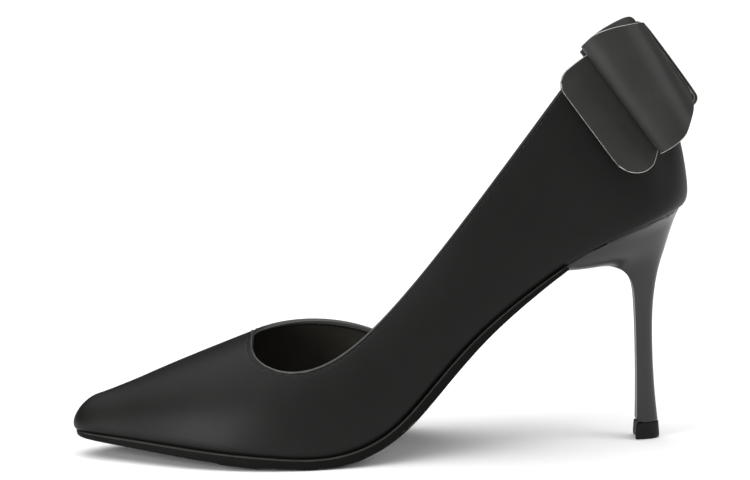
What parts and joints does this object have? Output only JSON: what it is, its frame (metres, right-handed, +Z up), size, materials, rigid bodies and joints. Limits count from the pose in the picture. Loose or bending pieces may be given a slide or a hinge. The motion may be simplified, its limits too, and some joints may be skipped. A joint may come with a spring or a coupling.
{
  "type": "high heel",
  "caption": "Pointed high-heeled pump in matte leather, cut open at the inner waist, with a slim heel and a leather bow behind the collar; a left shoe that stands on forefoot and heel tip.",
  "frame": {"origin": "on the floor, under the middle of the shoe's box", "axes": "the toe points to -X and the heel to +X, the outer side of the foot faces -Y, and +Z is up"},
  "size_m": [0.237, 0.076, 0.1588],
  "materials": {
    "upper_leather": "matte, fine grain",
    "sock_lining": "dull",
    "outsole_rubber": "matte, moulded",
    "heel_cover": "satin",
    "heel_tip": "dull",
    "bow_leather": "matte, with pale cut edges"
  },
  "bodies": {
    "root": {"upper": "upper_leather", "insole": "sock_lining", "outsole": "outsole_rubber", "heel": "heel_cover", "heel_tip": "heel_tip", "bow_tails": "bow_leather", "bow_loops": "bow_leather", "bow_knot": "bow_leather"}
  },
  "joints": []
}
